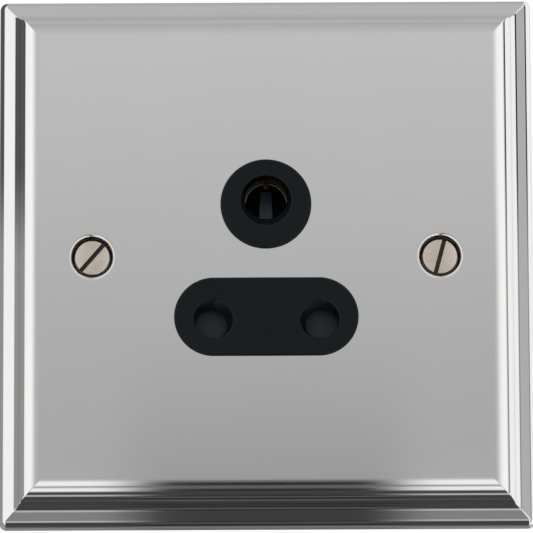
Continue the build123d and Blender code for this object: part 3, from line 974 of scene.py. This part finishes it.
@dataclass
class Studio:
    """Camera, floor and light."""

    distance: float = 1.003
    elevation: float = 10.5
    lens: float = 389.0
    roll: float = -0.24
    aim: Vector = field(default_factory=lambda: Vector((0.00006, -0.004, -0.0008)))
    floor_height: float = -0.42
    floor_reach: float = 3.0
    floor_cloud: float = 0.4
    soft_grey: float = 0.62
    flank_between: tuple[float, float] = (0.017, 0.030)
    side_between: tuple[float, float] = (0.05, 0.12)
    high_between: tuple[float, float] = (0.182, 0.200)

    def build(self) -> None:
        """Builds the stage."""
        self.camera()
        self.floor()
        self.world()
        self.lamps()

    def camera(self) -> None:
        """Puts the camera a little below the socket, looking up at it."""
        data = bpy.data.cameras.new("camera")
        data.sensor_width = SENSOR_MM
        data.lens = self.lens
        data.clip_start = 0.01
        data.clip_end = 50
        camera = bpy.data.objects.new("camera", data)
        bpy.context.scene.collection.objects.link(camera)
        tilt = math.radians(self.elevation)
        away = Vector((0, -math.cos(tilt), -math.sin(tilt)))
        camera.location = self.aim + away * self.distance
        look = (-away).to_track_quat("-Z", "Y").to_matrix().to_4x4()
        turn = Matrix.Rotation(math.radians(self.roll), 4, "Z")
        camera.matrix_world = Matrix.Translation(camera.location) @ look @ turn
        bpy.context.scene.camera = camera

    def floor(self) -> None:
        """Adds a plain pale floor."""
        bm = bmesh.new()
        bmesh.ops.create_grid(bm, x_segments=1, y_segments=1, size=self.floor_reach)
        bmesh.ops.translate(bm, vec=(0, 0, self.floor_height), verts=bm.verts)
        floor = new_piece("floor", bm)
        material = new_material("pale_floor")
        bench = Bench(material.node_tree)
        cloud = bench.noise(bench.place(), self.floor_cloud, 2)
        bench.surface(Base_Color=bench.tint(cloud, (0.80, 0.80, 0.80), (0.84, 0.84, 0.84)), Roughness=0.7)
        floor.data.materials.append(material)
        floor.visible_glossy = False

    def world(self) -> None:
        """Makes the white background and the soft surroundings that the metal reflects."""
        world = bpy.data.worlds.new("studio")
        world.use_nodes = True
        bpy.context.scene.world = world
        bench = Bench(world.node_tree)
        rays = bench.add("LightPath")
        seen = bench.add("Background")
        seen.inputs["Color"].default_value = (1, 1, 1, 1)
        mirrored = bench.add("Background")
        bench.join(self.surroundings(bench), mirrored.inputs["Color"])
        soft = bench.add("Background")
        soft.inputs["Color"].default_value = (self.soft_grey, self.soft_grey, self.soft_grey, 1)
        glossy = bench.add("MixShader")
        bench.join(rays.outputs["Is Glossy Ray"], glossy.inputs[0])
        bench.join(soft.outputs[0], glossy.inputs[1])
        bench.join(mirrored.outputs[0], glossy.inputs[2])
        camera = bench.add("MixShader")
        bench.join(rays.outputs["Is Camera Ray"], camera.inputs[0])
        bench.join(glossy.outputs[0], camera.inputs[1])
        bench.join(seen.outputs[0], camera.inputs[2])
        output = bench.add("OutputWorld")
        bench.join(camera.outputs[0], output.inputs["Surface"])

    def surroundings(self, bench: Bench) -> NodeSocket:
        """Light from each direction, as the metal sees it.

        Args:
            bench: The world's nodes.

        Returns:
            The light's colour.
        """
        direction = bench.add("TexCoord")
        split = bench.add("SeparateXYZ")
        bench.join(direction.outputs["Generated"], split.inputs[0])
        across, depth, up = (split.outputs[name] for name in "XYZ")
        ahead = self.sum(bench, "MULTIPLY", depth, -1.0)
        pitch = self.sum(bench, "ARCTAN2", up, ahead)
        yaw = self.sum(bench, "ARCTAN2", across, ahead)
        off_axis = self.sum(bench, "ABSOLUTE", across)
        middle = self.bands(bench, pitch, MIDDLE_BANDS)
        flank = self.bands(bench, pitch, FLANK_BANDS)
        around = self.blend(bench, self.ease(bench, off_axis, *self.flank_between), middle, flank)
        low_side = self.bands(bench, yaw, LOW_SIDE_BANDS)
        high_side = self.bands(bench, yaw, HIGH_SIDE_BANDS)
        beside = self.blend(bench, self.ease(bench, up, *self.high_between), low_side, high_side)
        return self.blend(bench, self.ease(bench, off_axis, *self.side_between), around, beside)

    @staticmethod
    def ease(bench: Bench, value: NodeSocket, low: float, high: float) -> NodeSocket:
        """Rises softly from 0 to 1 as a value passes from low to high.

        Args:
            bench: The nodes.
            value: The value.
            low: Where the rise starts.
            high: Where the rise ends.

        Returns:
            The share.
        """
        rise = bench.add("MapRange", interpolation_type="SMOOTHSTEP")
        bench.join(value, rise.inputs["Value"])
        rise.inputs["From Min"].default_value = low
        rise.inputs["From Max"].default_value = high
        return rise.outputs["Result"]

    @staticmethod
    def blend(bench: Bench, share: NodeSocket, first: NodeSocket, second: NodeSocket) -> NodeSocket:
        """Mixes two colours by a share.

        Args:
            bench: The nodes.
            share: The share of the second colour.
            first: The colour at 0.
            second: The colour at 1.

        Returns:
            The mixed colour.
        """
        mix = bench.add("Mix", data_type="RGBA")
        bench.join(share, mix.inputs[0])
        bench.join(first, mix.inputs[6])
        bench.join(second, mix.inputs[7])
        return mix.outputs[2]

    @staticmethod
    def sum(bench: Bench, operation: str, first: NodeSocket, second: NodeSocket | float = 0.0) -> NodeSocket:
        """Works out one value.

        Args:
            bench: The nodes.
            operation: The Math node's operation.
            first: The first value.
            second: The second value, where the operation takes two.

        Returns:
            The result.
        """
        node = bench.add("Math", operation=operation)
        bench.join(first, node.inputs[0])
        if isinstance(second, NodeSocket):
            bench.join(second, node.inputs[1])
        else:
            node.inputs[1].default_value = second
        return node.outputs[0]

    @staticmethod
    def bands(bench: Bench, angle: NodeSocket, stops: Bands) -> NodeSocket:
        """Grey level by angle.

        Args:
            bench: The nodes.
            angle: The angle in radians, from minus pi to pi.
            stops: Degrees and grey levels, in order.

        Returns:
            The grey as a colour.
        """
        share = bench.add("MapRange")
        bench.join(angle, share.inputs["Value"])
        share.inputs["From Min"].default_value = -math.pi
        share.inputs["From Max"].default_value = math.pi
        ramp = bench.add("ValToRGB")
        bench.join(share.outputs["Result"], ramp.inputs[0])
        elements = ramp.color_ramp.elements
        while len(elements) < len(stops):
            elements.new(0.5)
        for element, (degrees, grey) in zip(elements, stops):
            element.position = (degrees + 180) / 360
            element.color = (grey, grey, grey, 1)
        return ramp.outputs["Color"]

    def lamps(self) -> None:
        """Adds two large soft lamps that the metal doesn't mirror."""
        for name, spot, size, power in (
            ("key", Vector((-0.6, -1.0, 0.9)), 0.8, 9.0),
            ("fill", Vector((0.8, -1.1, 0.2)), 0.9, 4.0),
        ):
            data = bpy.data.lights.new(name, "AREA")
            data.size = size
            data.energy = power
            lamp = bpy.data.objects.new(name, data)
            lamp.location = spot
            lamp.rotation_euler = (-spot).to_track_quat("-Z", "Y").to_euler()
            bpy.context.scene.collection.objects.link(lamp)
            lamp.visible_glossy = False


def build_screws(finishes: Finishes) -> list[Object]:
    """Builds every slotted screw.

    Args:
        finishes: The materials.

    Returns:
        The screws.
    """
    screws = [
        PlateScrew(f"{side}_plate_screw", f"{side}_fixing_screw", finishes, math.radians(angle))
        for side, angle in (("left", 49.0), ("right", 75.0))
    ]
    screws += [
        Screw(f"{name}_clamp_screw", f"{name}_terminal_screw", finishes)
        for name in ("earth", "live", "neutral")
    ]
    screws += [CaseScrew(f"housing_screw_{n}", f"case_screw_{n}", finishes) for n in range(1, 5)]
    return [screw.build() for screw in screws]


def main() -> None:
    """Builds the stage and every piece in order."""
    logging.basicConfig(level=logging.INFO, format="%(message)s")
    finishes = Finishes()
    finishes.make()
    Studio().build()
    made = [FacePlate(finishes).build()]
    made += build_screws(finishes)
    made.append(ReturnSpring(finishes).build())
    dressed = {n for piece in made for n in piece["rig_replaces"]}
    slots = {row["node"]: Slot(row["material_slot"]) for row in frame["record"]["subparts"]}
    for node in sorted(frame["nodes"]):
        if node not in dressed:
            body = "shutter" if node == "shutter" else "housing"
            made.append(DressedNode(node, slots[node], body, finishes).build())
    for piece in made:
        LOG.info("%s: %d faces", piece.name, len(piece.data.polygons))
    bpy.context.scene.view_settings.view_transform = "Standard"


if __name__ == "__main__":
    main()
